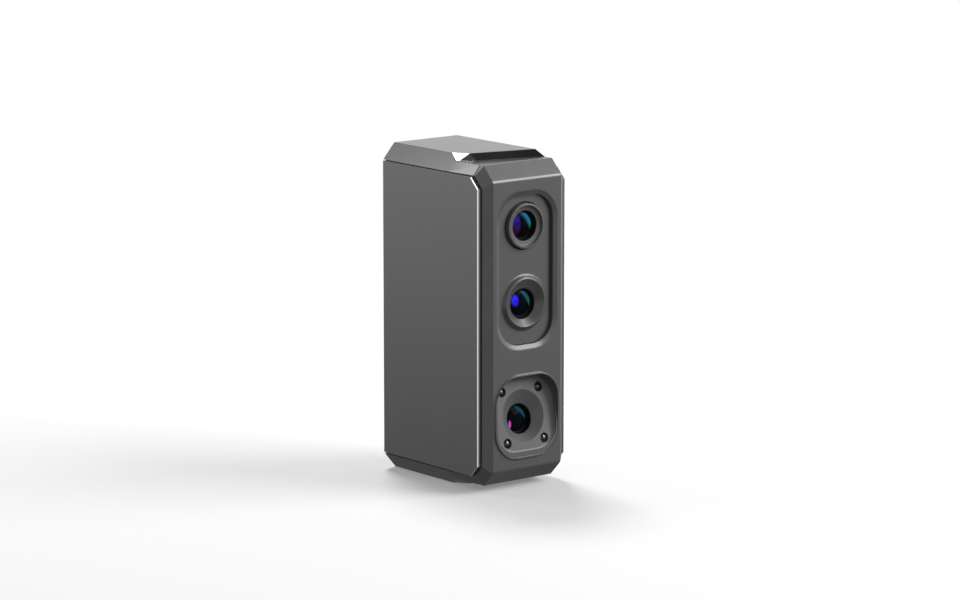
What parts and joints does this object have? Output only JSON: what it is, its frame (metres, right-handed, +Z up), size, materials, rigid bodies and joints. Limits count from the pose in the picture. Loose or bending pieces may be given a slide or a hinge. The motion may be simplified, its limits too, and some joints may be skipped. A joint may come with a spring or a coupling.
{
  "type": "handheld 3-D scanner",
  "caption": "Slim box-shaped handheld scanner with chamfered ends, side plates, a recessed camera panel, a tilted projector well, rear keys and a port.",
  "frame": {"origin": "centre of the footprint, on the surface the scanner stands on", "axes": "+Z up along the body's length, -Y the way the lenses look, X across the body between the side plates"},
  "size_m": [0.035, 0.052, 0.105],
  "materials": {
    "anodised_grey": "satin bead-blasted, dark grey anodised",
    "bezel_grey": "fine matte texture, dark grey",
    "black_plastic": "matte black",
    "black_gloss": "gloss black",
    "coated_glass": "polished, with a blue and violet anti-reflection coating",
    "steel": "bright steel",
    "brass": "machined",
    "aluminium": "machined",
    "circuit_board": "green solder mask",
    "silicon": "moulded package",
    "light_pipe": "frosted, translucent",
    "rubber": "matte",
    "polyimide": "amber film"
  },
  "bodies": {
    "housing": {"body_shell": "anodised_grey", "camera_fascia": "bezel_grey", "control_panel": "black_gloss", "fill_lamp_1": "black_gloss", "fill_lamp_2": "black_gloss", "fill_lamp_3": "black_gloss", "fill_lamp_4": "black_gloss", "front_bezel": "bezel_grey", "heat_spreader": "aluminium", "key_board": "circuit_board", "lamp_board": "circuit_board", "left_side_plate": "anodised_grey", "lid_screw_1": "steel", "lid_screw_2": "steel", "lid_screw_3": "steel", "lid_screw_4": "steel", "lower_camera_ribbon": "polyimide", "lower_camera_tube": "black_plastic", "lower_front_lens": "coated_glass", "lower_inner_lens": "coated_glass", "lower_sensor": "silicon", "lower_sensor_board": "circuit_board", "main_board": "circuit_board", "minus_switch": "black_plastic", "optical_frame": "aluminium", "pattern_slide": "coated_glass", "plus_switch": "black_plastic", "processor_chip": "silicon", "projector_fascia": "bezel_grey", "projector_front_lens": "coated_glass", "projector_heat_sink": "aluminium", "projector_inner_lens": "coated_glass", "projector_lamp": "silicon", "projector_tube": "black_plastic", "rear_lid": "bezel_grey", "right_side_plate": "anodised_grey", "scan_switch": "black_plastic", "seam_gasket": "rubber", "status_light_ring": "light_pipe", "tripod_insert": "brass", "upper_camera_ribbon": "polyimide", "upper_camera_tube": "black_plastic", "upper_front_lens": "coated_glass", "upper_inner_lens": "coated_glass", "upper_lens_ring": "bezel_grey", "upper_sensor": "silicon", "upper_sensor_board": "circuit_board", "usb_board": "circuit_board", "usb_shell": "steel", "usb_tongue": "black_plastic"},
    "scan_key": {"scan_key": "black_plastic"},
    "plus_key": {"plus_key": "black_plastic"},
    "minus_key": {"minus_key": "black_plastic"}
  },
  "joints": [
    {"name": "scan_key_press", "type": "slide", "parent": "housing", "child": "scan_key", "axis": [0, -1, 0], "range_m": [0, 0.0005], "stiffness_N_per_m": 4000},
    {"name": "plus_key_press", "type": "slide", "parent": "housing", "child": "plus_key", "axis": [0, -1, 0], "range_m": [0, 0.0004], "stiffness_N_per_m": 4000},
    {"name": "minus_key_press", "type": "slide", "parent": "housing", "child": "minus_key", "axis": [0, -1, 0], "range_m": [0, 0.0004], "stiffness_N_per_m": 4000}
  ]
}
